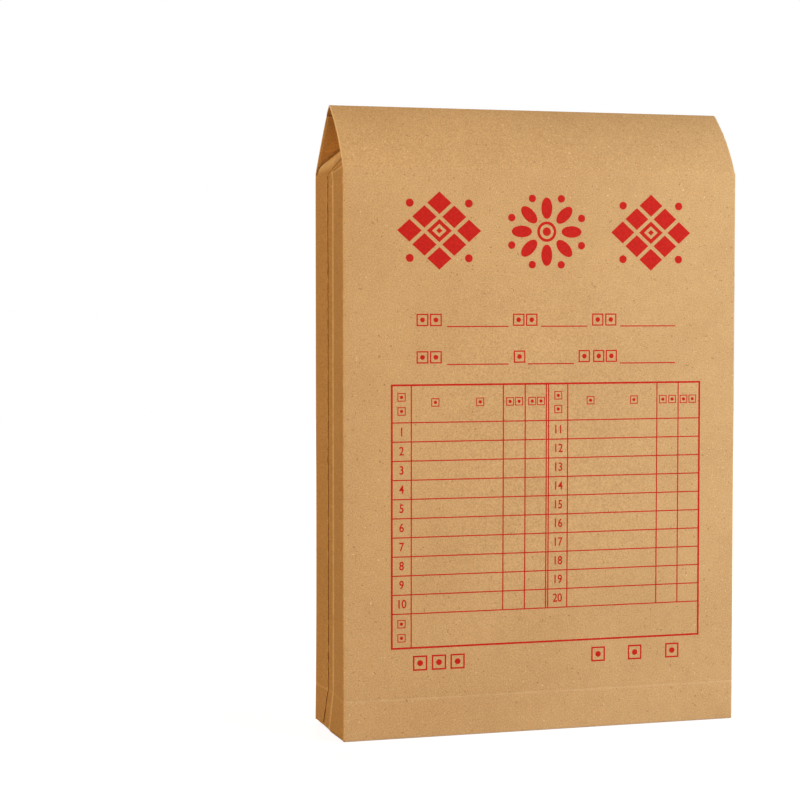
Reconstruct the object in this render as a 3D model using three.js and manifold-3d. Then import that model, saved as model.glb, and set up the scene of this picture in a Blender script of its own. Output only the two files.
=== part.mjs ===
// A gusseted document bag of kraft board with a flap, two buttons and a string that winds round them.
// Millimetres, +Z up. The origin is the middle of the base, the front wall faces -Y and +X is to its right.
import * as THREE from "three";
import { mergeVertices } from "three/addons/utils/BufferGeometryUtils.js";
import Module from "manifold-3d";

// Driving dimensions of the bag
const width = 230; // across the front wall
const depth = 58; // front face to back face
const height = 345; // base to top fold
const gableRise = 36; // from where the front and back walls start to lean in to the top fold
const board = 0.5; // thickness of the kraft board
const creaseGap = 0.3; // free space where two panels meet at an angle
const gussetInset = 2.5; // how far a gusset's middle crease stands in
const frontStartLean = 24; // degrees from upright where the front wall starts to curve back
const lipBow = 2.6; // degrees that the back wall's lip starts steeper than its chord
const lipShortfall = 8; // top fold to the lip's top edge, along the flap
const lipGap = 1; // free space between the lip's top edge and the flap

// The flap
const flapBow = 13.2; // degrees that the flap starts flatter than its chord
const flapStandOff = 2.2; // free space between the flap's lower edge and the back wall
const flapOverhang = 2; // how far the flap's lower edge hangs below the shoulder crease
const flapSideMargin = 0.4; // how far the flap's sides stand in at the fold
const flapTaperStart = 7; // how far from the fold they run straight before they draw in
const flapTaper = 5.5; // how much further they stand in at the lower edge
const flapCorner = 7; // radius of the flap's lower corners

// The glued seams
const lapWidth = 20; // glue lap over the left gusset
const glueGap = 0.2; // glue film between the lap and the gusset
const outerFlapReach = 51; // bottom outer flap, from the front face
const innerFlapReach = 50; // bottom inner flap, from the back face
const bottomFlapTaper = 3; // how far the bottom flaps' sides draw in
const tuckReach = 22; // gusset's tucked-in end

// The buttons, their rivets and their washers
const upperButtonInset = 21.5; // the flap's lower edge to the upper button, along the flap
const lowerButtonDrop = 32; // shoulder crease to the lower button
const buttonRadius = 11;
const buttonThickness = 0.9;
const buttonEdge = 0.2; // softened edge of a disc
const boreClearance = 0.25; // between a rivet's barrel and what it passes through
const seatClearance = 0.15; // between pieces stacked on a rivet
const barrelRadius = 2.25;
const barrelBore = 1.75;
const headRadius = 3.1;
const headThickness = 0.5;
const clinchRadius = 3;
const clinchThickness = 0.4;
const washerRadius = 6;
const washerThickness = 0.5;
const windingSpace = 2; // under a disc, where the string runs
const tieSpace = 1.7; // between the upper disc and its rivet's head, where the string is tied

// The string
const stringDiameter = 1.4;
const stringSides = 8;
const stringSteps = 80;

const halfWidth = width / 2;
const halfDepth = depth / 2;
const innerY = halfDepth - board;
const shoulderHeight = height - gableRise;
const bottomStack = 3 * board;
const lowerButtonHeight = shoulderHeight - lowerButtonDrop;
const infoldReach = halfDepth - 2 * board; // how far a gusset folds in at the top
const curveSteps = 12;

const kraft = new THREE.MeshStandardMaterial({ color: 0xcfa570, roughness: 0.85, metalness: 0 });
const kraftInside = new THREE.MeshStandardMaterial({ color: 0xb98f5d, roughness: 0.9, metalness: 0 });
const whiteBoard = new THREE.MeshStandardMaterial({ color: 0xeceae6, roughness: 0.55, metalness: 0 });
const fibre = new THREE.MeshStandardMaterial({ color: 0x9a7448, roughness: 0.9, metalness: 0 });
const nickel = new THREE.MeshStandardMaterial({ color: 0xc9c9c7, roughness: 0.25, metalness: 1 });
const cotton = new THREE.MeshStandardMaterial({ color: 0xf0eee8, roughness: 0.95, metalness: 0 });

const wasm = await Module();
wasm.setup();
const group = new THREE.Group();

function add(name, geometry, material, parent = group) {
  const mesh = new THREE.Mesh(geometry, material);
  mesh.name = name;
  parent.add(mesh);
}

function toSolid(geometry) {
  const bare = geometry.clone();
  bare.deleteAttribute("normal");
  bare.deleteAttribute("uv");
  const merged = mergeVertices(bare, 1e-4);
  const mesh = new wasm.Mesh({
    numProp: 3,
    vertProperties: merged.attributes.position.array,
    triVerts: new Uint32Array(merged.index.array),
  });
  return new wasm.Manifold(mesh);
}

function toGeometry(solid) {
  const mesh = solid.getMesh();
  const geometry = new THREE.BufferGeometry();
  geometry.setAttribute("position", new THREE.BufferAttribute(mesh.vertProperties, 3));
  geometry.setIndex(new THREE.BufferAttribute(mesh.triVerts, 1));
  return geometry;
}

// An outline of [x, y] points, extruded upright from one height to another.
function upright(outline, low, high) {
  const shape = new THREE.Shape(outline.map(([x, y]) => new THREE.Vector2(x, y)));
  const geometry = new THREE.ExtrudeGeometry(shape, { depth: high - low, bevelEnabled: false });
  return geometry.translate(0, 0, low);
}

// An outline of [y, z] points, extruded across the whole width.
function across(outline, low, high) {
  const shape = new THREE.Shape(outline.map(([y, z]) => new THREE.Vector2(y, z)));
  const geometry = new THREE.ExtrudeGeometry(shape, { depth: high - low, bevelEnabled: false });
  const turn = new THREE.Matrix4().makeBasis(
    new THREE.Vector3(0, 1, 0),
    new THREE.Vector3(0, 0, 1),
    new THREE.Vector3(1, 0, 0),
  );
  return geometry.applyMatrix4(turn).translate(low, 0, 0);
}

// A closed sheet between two grids of points, rows by columns: its outer face and its inner face.
function sheet(outer, inner) {
  const rows = outer.length;
  const columns = outer[0].length;
  const points = [...outer.flat(), ...inner.flat()];
  const at = (face, row, column) => face * rows * columns + row * columns + column;
  const index = [];
  const quad = (a, b, c, d) => index.push(a, b, c, a, c, d);
  for (let r = 0; r + 1 < rows; r++) {
    for (let c = 0; c + 1 < columns; c++) {
      quad(at(0, r, c), at(0, r, c + 1), at(0, r + 1, c + 1), at(0, r + 1, c));
      quad(at(1, r, c), at(1, r + 1, c), at(1, r + 1, c + 1), at(1, r, c + 1));
    }
    quad(at(0, r, 0), at(0, r + 1, 0), at(1, r + 1, 0), at(1, r, 0));
    const last = columns - 1;
    quad(at(0, r + 1, last), at(0, r, last), at(1, r, last), at(1, r + 1, last));
  }
  for (let c = 0; c + 1 < columns; c++) {
    const last = rows - 1;
    quad(at(0, 0, c + 1), at(0, 0, c), at(1, 0, c), at(1, 0, c + 1));
    quad(at(0, last, c), at(0, last, c + 1), at(1, last, c + 1), at(1, last, c));
  }
  const geometry = new THREE.BufferGeometry().setFromPoints(points).setIndex(index);
  if (toSolid(geometry).volume() < 0) {
    index.reverse();
    geometry.setIndex(index);
  }
  return geometry;
}

// How far the line between two YZ points rises above +Y.
function slope(start, end) {
  return Math.atan2(end[1] - start[1], end[0] - start[0]);
}

// A wall's curve in the YZ plane: an arc between two points that starts at a given angle above +Y.
// Its outer side is to the left of its run, or to the right where side is -1.
function bow(start, end, startAngle, side) {
  const chord = Math.hypot(end[0] - start[0], end[1] - start[1]);
  const turn = 2 * (slope(start, end) - startAngle);
  const radius = chord / (2 * Math.sin(turn / 2));
  const angleAt = (run) => startAngle + run / radius;
  return {
    length: radius * turn,
    radius: Math.abs(radius),
    angleAt,
    at(run, off = 0) {
      const angle = angleAt(run);
      return [
        start[0] + radius * (Math.sin(angle) - Math.sin(startAngle)) - side * off * Math.sin(angle),
        start[1] - radius * (Math.cos(angle) - Math.cos(startAngle)) + side * off * Math.cos(angle),
      ];
    },
  };
}

const radians = THREE.MathUtils.degToRad;
const topFold = [0, height];
const frontCurve = bow([-halfDepth, shoulderHeight], topFold, radians(90 - frontStartLean), 1);
const flapEnd = [halfDepth + flapStandOff + board, shoulderHeight - flapOverhang];
const flapCurve = bow(topFold, flapEnd, slope(topFold, flapEnd) + radians(flapBow), 1);
const lipFoot = [halfDepth, shoulderHeight];
const lipTop = flapCurve.at(lipShortfall, -board - lipGap);
const lipCurve = bow(lipFoot, lipTop, slope(lipFoot, lipTop) - radians(lipBow), -1);
const upperButtonDistance = flapCurve.length - upperButtonInset;

function runs(from, to, steps) {
  return Array.from({ length: steps + 1 }, (_, i) => from + ((to - from) * i) / steps);
}

// The mitre where two sheets of board meet: how far the inner face stands back from the crease.
function mitre(turn) {
  return board * Math.tan(Math.abs(turn) / 2);
}

const foldTurn = frontCurve.angleAt(frontCurve.length) - flapCurve.angleAt(0);

// Walls
function frontPanel() {
  const outline = [
    [-halfDepth, board],
    [-innerY, board],
    [-innerY, shoulderHeight],
    [-halfDepth, shoulderHeight],
  ];
  return across(outline, -halfWidth, halfWidth);
}

function frontShoulder() {
  const gap = creaseGap / 2;
  const outer = runs(0, frontCurve.length - gap, curveSteps).map((run) => frontCurve.at(run));
  const inner = runs(0, frontCurve.length - gap - mitre(foldTurn), curveSteps)
    .map((run) => frontCurve.at(run, -board))
    .slice(1);
  const outline = [...outer, ...inner.reverse(), [-innerY, shoulderHeight]];
  return across(outline.reverse(), -halfWidth, halfWidth);
}

function lowerButtonSeat() {
  return [0, halfDepth, lowerButtonHeight];
}

function drill(length) {
  return new THREE.CylinderGeometry(barrelRadius + boreClearance, barrelRadius + boreClearance, length, 32);
}

function backPanel() {
  const top = shoulderHeight - creaseGap;
  const outline = [
    [innerY, 2 * board],
    [halfDepth, 2 * board],
    [halfDepth, top],
    [innerY, top],
  ];
  const hole = drill(4 * board).translate(...lowerButtonSeat());
  return toGeometry(toSolid(across(outline, -halfWidth, halfWidth)).subtract(toSolid(hole)));
}

function backLip() {
  const from = creaseGap / 2;
  const outer = runs(from, lipCurve.length, curveSteps).map((run) => lipCurve.at(run));
  const inner = runs(from, lipCurve.length, curveSteps).map((run) => lipCurve.at(run, -board));
  return across([...outer, ...inner.reverse()], -halfWidth, halfWidth);
}

// The flap's half width at a distance along it: it draws in, and its lower corners are round.
function flapHalfWidth(run) {
  const drawn = Math.max(0, run - flapTaperStart) / (flapCurve.length - flapTaperStart);
  const side = halfWidth - flapSideMargin - flapTaper * drawn;
  const intoCorner = Math.max(0, run - (flapCurve.length - flapCorner));
  return side - flapCorner + Math.sqrt(Math.max(0, flapCorner ** 2 - intoCorner ** 2));
}

function upperButtonAngle() {
  return flapCurve.angleAt(upperButtonDistance) + Math.PI / 2;
}

function closingFlap() {
  const gap = creaseGap / 2;
  const parallel = runs(0, flapTaperStart, 2);
  const drawnIn = runs(flapTaperStart, flapCurve.length - flapCorner, curveSteps);
  const corner = runs(0, Math.PI / 2, 6).map(
    (angle) => flapCurve.length - flapCorner + flapCorner * Math.sin(angle),
  );
  const places = [...parallel, ...drawnIn.slice(1), ...corner.slice(1)];
  const row = (run, off, cut) => {
    const [y, z] = flapCurve.at(Math.max(run, gap + cut), off);
    const side = flapHalfWidth(run);
    return [-1, -0.5, 0, 0.5, 1].map((share) => new THREE.Vector3(share * side, y, z));
  };
  const outer = places.map((run) => row(run, 0, 0));
  const inner = places.map((run) => row(run, -board, mitre(foldTurn)));
  const [y, z] = flapCurve.at(upperButtonDistance);
  const hole = drill(4 * board).rotateX(upperButtonAngle()).translate(0, y, z);
  return toGeometry(toSolid(sheet(outer, inner)).subtract(toSolid(hole)));
}

add("front_panel", frontPanel(), kraft);
add("front_shoulder", frontShoulder(), kraft);
add("back_panel", backPanel(), kraft);
add("back_lip", backLip(), kraft);
add("closing_flap", closingFlap(), kraft);

// Gussets: each half runs from a wall to the middle crease, which stands in, and ends below the webs
const flankDepth = board + creaseGap;
const webDepth = flankDepth + board + creaseGap;
const greatestLean = Math.max(Math.cos(frontCurve.angleAt(0)), -Math.cos(lipCurve.angleAt(0)));
const webDip = webDepth * greatestLean + board;
const gussetTop = shoulderHeight - webDip - creaseGap;

// How far the left gusset's back half stands in, to leave room for the glue lap over it.
function cornerInset(side) {
  return side < 0 ? board + glueGap : 0;
}

function gussetX(side, y) {
  const inset = y > 0 ? cornerInset(side) : 0;
  const share = Math.abs(y) / innerY;
  return side * (halfWidth - gussetInset + (gussetInset - inset) * share);
}

function gussetHalf(side, wallY) {
  const outline = [
    [gussetX(side, wallY), wallY],
    [gussetX(side, 0), 0],
    [gussetX(side, 0) - side * board, 0],
    [gussetX(side, wallY) - side * board, wallY],
  ];
  const turned = side * wallY > 0 ? outline : outline.reverse();
  return upright(turned, bottomStack, gussetTop);
}

function glueLap() {
  const side = -1;
  const edgeY = innerY - lapWidth;
  const outline = [
    [gussetX(side, innerY) + side * glueGap, innerY],
    [gussetX(side, edgeY) + side * glueGap, edgeY],
    [gussetX(side, edgeY) + side * (glueGap + board), edgeY],
    [gussetX(side, innerY) + side * (glueGap + board), innerY],
  ];
  return upright(outline, bottomStack, gussetTop);
}

// Top of a gusset: two triangles fold in behind the walls, and the middle one leans in between them
const foldSteps = 8;

function reachIn(share) {
  return infoldReach * share;
}

function infold(side, curve) {
  const length = lipCurve.length;
  const face = (off) =>
    runs(creaseGap * 4, length, foldSteps).map((run) => {
      const [y, z] = curve.at(run, off);
      const edge = side * (halfWidth - creaseGap);
      const crease = side * (halfWidth - creaseGap - reachIn(run / length));
      return [new THREE.Vector3(edge, y, z), new THREE.Vector3(crease, y, z)];
    });
  return sheet(face(-flankDepth), face(-flankDepth - board));
}

// The middle crease's point at a share of the way up a web.
function webCrease(side, share) {
  const length = lipCurve.length * share;
  const front = frontCurve.at(length, -webDepth);
  const back = lipCurve.at(length, -webDepth);
  const x = side * (halfWidth - gussetInset - reachIn(share));
  return new THREE.Vector3(x, (front[0] + back[0]) / 2, (front[1] + back[1]) / 2);
}

function web(side, curve, wall) {
  const lean = Math.atan2(infoldReach, lipCurve.length);
  const inwards = new THREE.Vector3(-side * Math.cos(lean), 0, -Math.sin(lean)).multiplyScalar(board);
  const outer = runs(0, 1, foldSteps).map((share) => {
    const [y, z] = curve.at(lipCurve.length * share, -webDepth);
    const diagonal = new THREE.Vector3(side * (halfWidth - reachIn(share)), y, z);
    const crease = webCrease(side, share);
    crease.y += (wall * creaseGap) / 2;
    return [diagonal, crease];
  });
  const inner = outer.map((row) => row.map((point) => point.clone().add(inwards)));
  return sheet(outer, inner);
}

for (const [name, side] of [
  ["left", -1],
  ["right", 1],
]) {
  add(name + "_gusset_front", gussetHalf(side, -innerY), kraft);
  add(name + "_gusset_back", gussetHalf(side, innerY), kraft);
  add(name + "_infold_front", infold(side, frontCurve), kraftInside);
  add(name + "_infold_back", infold(side, lipCurve), kraftInside);
  add(name + "_web_front", web(side, frontCurve, -1), kraft);
  add(name + "_web_back", web(side, lipCurve, 1), kraft);
  add(name + "_bottom_tuck", bottomTuck(side), kraftInside);
}
add("glue_lap", glueLap(), kraft);

// Bottom: the outer flap lies under the inner one, and the gussets' ends are tucked in above both
function bottomTuck(side) {
  const slant = tuckReach;
  const outline = [
    [gussetX(side, -innerY), -innerY],
    [gussetX(side, 0), 0],
    [gussetX(side, innerY), innerY],
    [side * (halfWidth - slant), innerY - slant],
    [side * (halfWidth - slant), slant - innerY],
  ];
  return upright(side < 0 ? outline.reverse() : outline, 2 * board, bottomStack);
}

function bottomFlap(wallY, reach, level) {
  const tip = wallY - Math.sign(wallY) * reach;
  const tipHalf = halfWidth - bottomFlapTaper;
  const outline = [
    [-halfWidth, wallY],
    [halfWidth, wallY],
    [tipHalf, tip],
    [-tipHalf, tip],
  ];
  return upright(wallY < 0 ? outline : outline.reverse(), level, level + board);
}

add("bottom_outer_flap", bottomFlap(-halfDepth, outerFlapReach, 0), kraft);
add("bottom_inner_flap", bottomFlap(halfDepth, innerFlapReach, board), kraft);

// Buttons: heights along a rivet are measured from the board's outer face
const discLow = windingSpace;
const discHigh = discLow + buttonThickness;
const flapHollow = washerRadius ** 2 / (2 * flapCurve.radius); // the curved flap's rise over a washer
const washerHigh = -board - seatClearance - flapHollow;
const washerLow = washerHigh - washerThickness;
const clinchHigh = washerLow - seatClearance;

function ring(profile, segments) {
  const points = [...profile, profile[0]].map(([radius, level]) => new THREE.Vector2(radius, level));
  const geometry = new THREE.LatheGeometry(points, segments);
  if (toSolid(geometry).volume() < 0) geometry.index.array.reverse();
  return geometry;
}

function buttonDisc() {
  const bore = barrelRadius + boreClearance;
  const profile = [
    [bore, discLow],
    [buttonRadius - buttonEdge, discLow],
    [buttonRadius, discLow + buttonEdge],
    [buttonRadius, discHigh - buttonEdge],
    [buttonRadius - buttonEdge, discHigh],
    [bore, discHigh],
  ];
  return ring(profile, 48);
}

function washer() {
  const bore = barrelRadius + boreClearance;
  const profile = [
    [bore, washerLow],
    [washerRadius, washerLow],
    [washerRadius, washerHigh],
    [bore, washerHigh],
  ];
  return ring(profile, 32);
}

function rivet(headLow) {
  const headHigh = headLow + headThickness;
  const clinchLow = clinchHigh - clinchThickness;
  const profile = [
    [barrelBore, clinchLow],
    [clinchRadius, clinchLow],
    [clinchRadius, clinchHigh],
    [barrelRadius, clinchHigh],
    [barrelRadius, headLow],
    [headRadius, headLow],
    [headRadius, headLow + headThickness / 2],
    [(headRadius + barrelRadius) / 2, headHigh],
    [barrelBore, headHigh],
  ];
  return ring(profile, 32);
}

function button(name, y, z, angle, headSpace) {
  const place = new THREE.Group();
  place.position.set(0, y, z);
  place.rotation.x = angle;
  group.add(place);
  add(name + "_button", buttonDisc(), whiteBoard, place);
  add(name + "_rivet", rivet(discHigh + headSpace), nickel, place);
  add(name + "_washer", washer(), fibre, place);
}

const upperSeat = flapCurve.at(upperButtonDistance);
button("upper", ...upperSeat, upperButtonAngle(), tieSpace);
button("lower", halfDepth, lowerButtonHeight, 0, seatClearance);

// String: points are across, up and off the board's outer face, from the button that they name.
// The up of the upper button runs along the curved flap, and across is +X.
function onFlap(x, up, off) {
  return new THREE.Vector3(x, ...flapCurve.at(upperButtonDistance - up, off));
}

function onBack(x, up, off) {
  return new THREE.Vector3(x, halfDepth + off, lowerButtonHeight + up);
}

const stringRoute = [
  onFlap(-6.6, 0.6, 3.75),
  onFlap(-4.6, 2.3, 3.75),
  onFlap(-2.4, 3.1, 3.75),
  onFlap(0, 3.3, 3.75),
  onFlap(2.3, 2.3, 3.75),
  onFlap(3.25, 0, 3.75),
  onFlap(3.1, -4, 3.75),
  onFlap(2.8, -8, 4.1),
  onFlap(2.6, -11.5, 4.3),
  onFlap(2.6, -16.5, 2.6),
  onFlap(2.6, -21.2, 1),
  onBack(2.7, 24, 2.8),
  onBack(2.8, 18, 2),
  onBack(3, 11.5, 1.1),
  onBack(3.3, 5, 1),
  onBack(3.25, 0, 1),
  onBack(2.3, -2.3, 1),
  onBack(0, -3.25, 1),
  onBack(-2.3, -2.3, 1),
  onBack(-3.25, 0, 1),
  onBack(-3.4, 5, 1),
  onBack(-3.6, 11.5, 1.1),
  onBack(-3.7, 18, 2),
  onBack(-3.8, 24, 2.8),
  onFlap(-3.9, -21.2, 1),
  onFlap(-3.9, -16, 1),
  onFlap(-3.8, -10, 1),
  onFlap(-3.5, -5, 1),
  onFlap(-3.25, 0, 1),
  onFlap(-2.3, 2.3, 1),
  onFlap(0, 3.25, 1),
  onFlap(2.3, 2.3, 1),
  onFlap(3.25, 0, 1),
  onFlap(3.8, -5, 1),
  onFlap(4.4, -10, 1),
  onFlap(4.6, -16, 1),
  onFlap(4.7, -21.2, 1),
  onBack(4.9, 24, 2.8),
  onBack(5, 18, 2),
  onBack(5.1, 11.5, 1.1),
  onBack(5.2, 5, 1),
  onBack(5.2, 0, 1),
  onBack(3.7, -3.7, 1),
  onBack(0, -5.3, 1),
  onBack(-3.4, -6, 1),
  onBack(-6, -8, 1),
  onBack(-7.6, -12, 1),
  onBack(-8.4, -18, 1),
  onBack(-8.2, -26, 1),
  onBack(-7, -35, 1),
];

function stringTube(curve) {
  const section = runs(0, 2 * Math.PI, stringSides)
    .slice(1)
    .map((angle) => new THREE.Vector2(Math.cos(angle), Math.sin(angle)).multiplyScalar(stringDiameter / 2));
  return new THREE.ExtrudeGeometry(new THREE.Shape(section), { steps: stringSteps, extrudePath: curve });
}

// The least space between stretches of the string that lie a few diameters apart along it.
function leastGap(curve) {
  const samples = 500;
  const points = curve.getSpacedPoints(samples);
  const apart = Math.ceil((4 * stringDiameter * samples) / curve.getLength());
  let least = Infinity;
  for (let i = 0; i < points.length; i++)
    for (let j = i + apart; j < points.length; j++) least = Math.min(least, points[i].distanceTo(points[j]));
  return least - stringDiameter;
}

const stringCurve = new THREE.CatmullRomCurve3(stringRoute, false, "centripetal");
add("string", stringTube(stringCurve), cotton);
const length = stringCurve.getLength().toFixed(1);
console.log(`string: ${length} mm long, least gap to itself ${leastGap(stringCurve).toFixed(2)} mm`);

export default group;
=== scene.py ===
import math

import bmesh
import bpy
from mathutils import Matrix, Vector, noise


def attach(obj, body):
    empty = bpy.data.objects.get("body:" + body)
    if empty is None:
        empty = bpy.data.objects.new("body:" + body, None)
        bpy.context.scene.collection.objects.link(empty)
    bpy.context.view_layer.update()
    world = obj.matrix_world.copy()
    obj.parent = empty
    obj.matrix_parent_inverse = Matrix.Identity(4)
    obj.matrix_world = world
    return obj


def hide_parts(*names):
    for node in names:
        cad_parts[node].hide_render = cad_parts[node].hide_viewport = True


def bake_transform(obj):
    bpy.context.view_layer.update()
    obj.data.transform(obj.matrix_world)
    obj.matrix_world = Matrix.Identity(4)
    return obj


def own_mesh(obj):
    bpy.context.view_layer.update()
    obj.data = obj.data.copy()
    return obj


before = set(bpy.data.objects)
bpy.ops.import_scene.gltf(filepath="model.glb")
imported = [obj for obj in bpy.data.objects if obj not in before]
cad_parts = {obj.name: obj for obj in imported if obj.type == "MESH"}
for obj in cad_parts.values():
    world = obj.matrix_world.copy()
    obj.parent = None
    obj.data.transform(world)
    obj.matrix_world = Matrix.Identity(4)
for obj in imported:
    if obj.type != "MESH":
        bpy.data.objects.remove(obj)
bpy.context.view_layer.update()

scene = bpy.context.scene
MM = 0.001

# Camera
# It stands 1.2 m away, to the left of the printed front wall and a little above the bag's middle,
# so that the left gusset and its open top are seen beside the front.
camera = bpy.data.objects.new("camera", bpy.data.cameras.new("camera"))
scene.collection.objects.link(camera)
scene.camera = camera
camera.data.sensor_width = 36
camera.data.lens = 94.95
camera.location = (-0.4132, -1.1178, 0.2377)
camera.rotation_euler = (math.radians(90 - 2.673), 0, math.radians(-16.869))


# String
# White cotton of three plies, tied under the upper eyelet's head, wound once round each disc's shank
# and once more round the lower one, with its cut end hanging down the back wall.
HALF_DEPTH = 29 * MM
TOP_FOLD = (0.0, 345 * MM)
FLAP_END = (31.7 * MM, 307 * MM)
FLAP_BOW = math.radians(13.2)
UPPER_BUTTON_INSET = 21.5 * MM
LOWER_BUTTON_HEIGHT = 277 * MM


def slope(start, end):
    return math.atan2(end[1] - start[1], end[0] - start[0])


def bow(start, end, start_angle, side):
    """An arc in the YZ plane: its length, and the place of a run along it and an offset outwards."""
    turn = 2 * (slope(start, end) - start_angle)
    radius = math.dist(start, end) / (2 * math.sin(turn / 2))

    def place(run, off=0.0):
        angle = start_angle + run / radius
        along_y = radius * (math.sin(angle) - math.sin(start_angle))
        along_z = radius * (math.cos(angle) - math.cos(start_angle))
        return (
            start[0] + along_y - side * off * math.sin(angle),
            start[1] - along_z + side * off * math.cos(angle),
        )

    return radius * turn, place


flap_length, on_flap_curve = bow(TOP_FOLD, FLAP_END, slope(TOP_FOLD, FLAP_END) + FLAP_BOW, 1)
upper_button_run = flap_length - UPPER_BUTTON_INSET


def on_flap(x, up, off):
    """A point in millimetres across, up and off the flap's outer face, from the upper button."""
    return Vector((x * MM, *on_flap_curve(upper_button_run - up * MM, off * MM)))


def on_back(x, up, off):
    """A point in millimetres across, up and off the back wall's outer face, from the lower button."""
    return Vector((x * MM, HALF_DEPTH + off * MM, LOWER_BUTTON_HEIGHT + up * MM))


string_route = [
    on_flap(-6.3, 2.7, 3.75),
    on_flap(-4.4, 2.6, 3.75),
    on_flap(-2.4, 3.0, 3.75),
    on_flap(0, 3.3, 3.75),
    on_flap(2.3, 2.3, 3.75),
    on_flap(3.25, 0, 3.75),
    on_flap(3.1, -4, 3.75),
    on_flap(2.8, -8, 4.1),
    on_flap(2.6, -11.5, 4.3),
    on_flap(2.6, -16.5, 2.6),
    on_flap(2.6, -21.2, 1),
    on_back(2.7, 24, 2.8),
    on_back(2.8, 18, 2),
    on_back(3, 11.5, 1.1),
    on_back(3.3, 5, 1),
    on_back(3.25, 0, 1),
    on_back(2.3, -2.3, 1),
    on_back(0, -3.25, 1),
    on_back(-2.3, -2.3, 1),
    on_back(-3.25, 0, 1),
    on_back(-3.4, 5, 1),
    on_back(-3.6, 11.5, 1.1),
    on_back(-3.7, 18, 2),
    on_back(-3.8, 24, 2.8),
    on_flap(-3.9, -21.2, 1),
    on_flap(-3.9, -16, 1),
    on_flap(-3.8, -10, 1),
    on_flap(-3.5, -5, 1),
    on_flap(-3.25, 0, 1),
    on_flap(-2.3, 2.3, 1),
    on_flap(0, 3.25, 1),
    on_flap(2.3, 2.3, 1),
    on_flap(3.25, 0, 1),
    on_flap(3.8, -5, 1),
    on_flap(4.4, -10, 1),
    on_flap(4.6, -16, 1),
    on_flap(4.7, -21.2, 1),
    on_back(4.9, 24, 2.8),
    on_back(5, 18, 2),
    on_back(5.1, 11.5, 1.1),
    on_back(5.2, 5, 1),
    on_back(5.2, 0, 1),
    on_back(3.7, -3.7, 1),
    on_back(0, -5.3, 1),
    on_back(-3.4, -6, 1),
    on_back(-6, -8, 1),
    on_back(-7.6, -12, 1),
    on_back(-8.4, -18, 1),
    on_back(-8.2, -26, 1),
    on_back(-7, -35, 1),
]
PLY_RADIUS = 0.35 * MM
PLY_OFFSET = 0.36 * MM
TWIST_LENGTH = 4.2 * MM
FRAYED_LENGTH = 2.2 * MM
FRAYED_SPREAD = 0.9
FRAYED_SWELL = 0.7


def smooth_line(points, steps):
    """A centripetal Catmull-Rom line through the points."""
    ends = [2 * points[0] - points[1], *points, 2 * points[-1] - points[-2]]
    line = []
    for p0, p1, p2, p3 in zip(ends, ends[1:], ends[2:], ends[3:]):
        t1 = (p1 - p0).length ** 0.5
        t2 = t1 + (p2 - p1).length ** 0.5
        t3 = t2 + (p3 - p2).length ** 0.5
        for i in range(steps):
            t = t1 + (t2 - t1) * i / steps
            a1 = p0.lerp(p1, t / t1)
            a2 = p1.lerp(p2, (t - t1) / (t2 - t1))
            a3 = p2.lerp(p3, (t - t2) / (t3 - t2))
            b1 = a1.lerp(a2, t / t2)
            b2 = a2.lerp(a3, (t - t1) / (t3 - t1))
            line.append(b1.lerp(b2, (t - t1) / (t2 - t1)))
    return line + [points[-1].copy()]


def plies_along(line):
    """Three lines that twist round the given one and spread apart at its frayed first end."""
    plies = ([], [], [])
    run = 0.0
    across = Vector((0, 0, 1))
    for i, point in enumerate(line):
        ahead = line[min(i + 1, len(line) - 1)] - line[max(i - 1, 0)]
        ahead.normalize()
        across = (across - ahead * across.dot(ahead)).normalized()
        if i:
            run += (point - line[i - 1]).length
        for number, ply in enumerate(plies):
            turn = 2 * math.pi * (run / TWIST_LENGTH + number / 3)
            spread = PLY_OFFSET * (1 + FRAYED_SPREAD * max(0.0, 1 - run / FRAYED_LENGTH))
            ply.append(point + spread * (Matrix.Rotation(turn, 3, ahead) @ across))
    return plies, run


def new_strands(name, radius, roundness):
    """A curve for round strands of a radius."""
    curve = bpy.data.curves.new(name, "CURVE")
    curve.dimensions = "3D"
    curve.bevel_depth = radius
    curve.bevel_resolution = roundness
    curve.use_fill_caps = True
    return curve


def add_strand(curve, line, swells):
    """A strand through a line's points, with its radius multiplied by the swell at each."""
    spline = curve.splines.new("POLY")
    spline.points.add(len(line) - 1)
    for target, point, swell in zip(spline.points, line, swells):
        target.co = (*point, 1)
        target.radius = swell


def as_mesh(name, curve):
    """A curve or text made a mesh, under an object of its own."""
    maker = bpy.data.objects.new(name + "_curve", curve)
    scene.collection.objects.link(maker)
    bpy.context.view_layer.update()
    shape = maker.evaluated_get(bpy.context.evaluated_depsgraph_get())
    mesh = bpy.data.meshes.new_from_object(shape)
    bpy.data.objects.remove(maker)
    bpy.data.curves.remove(curve)
    mesh.name = name
    return mesh


def add_piece(name, mesh, *materials, smooth=True):
    """Puts a finished mesh in the scene with its materials."""
    piece = bpy.data.objects.new(name, mesh)
    scene.collection.objects.link(piece)
    for material in materials:
        mesh.materials.append(material)
    mesh.polygons.foreach_set("use_smooth", [smooth] * len(mesh.polygons))
    return piece


def new_material(name, colour, roughness):
    """A material of a plain colour and roughness, and its Principled shader."""
    material = bpy.data.materials.new(name)
    material.use_nodes = True
    shader = material.node_tree.nodes["Principled BSDF"]
    shader.inputs["Base Color"].default_value = (*colour, 1)
    shader.inputs["Roughness"].default_value = roughness
    return material, shader


def link(tree, source, target):
    tree.links.new(source, target)


def object_place(tree):
    """A point's place in its piece, which no motion of the piece changes."""
    return tree.nodes.new("ShaderNodeTexCoord").outputs["Object"]


def feed(tree, socket, value):
    """Gives a socket another node's output, a colour or a number."""
    if isinstance(value, bpy.types.NodeSocket):
        link(tree, value, socket)
    elif isinstance(value, tuple):
        socket.default_value = (*value, 1)
    else:
        socket.default_value = value


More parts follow.
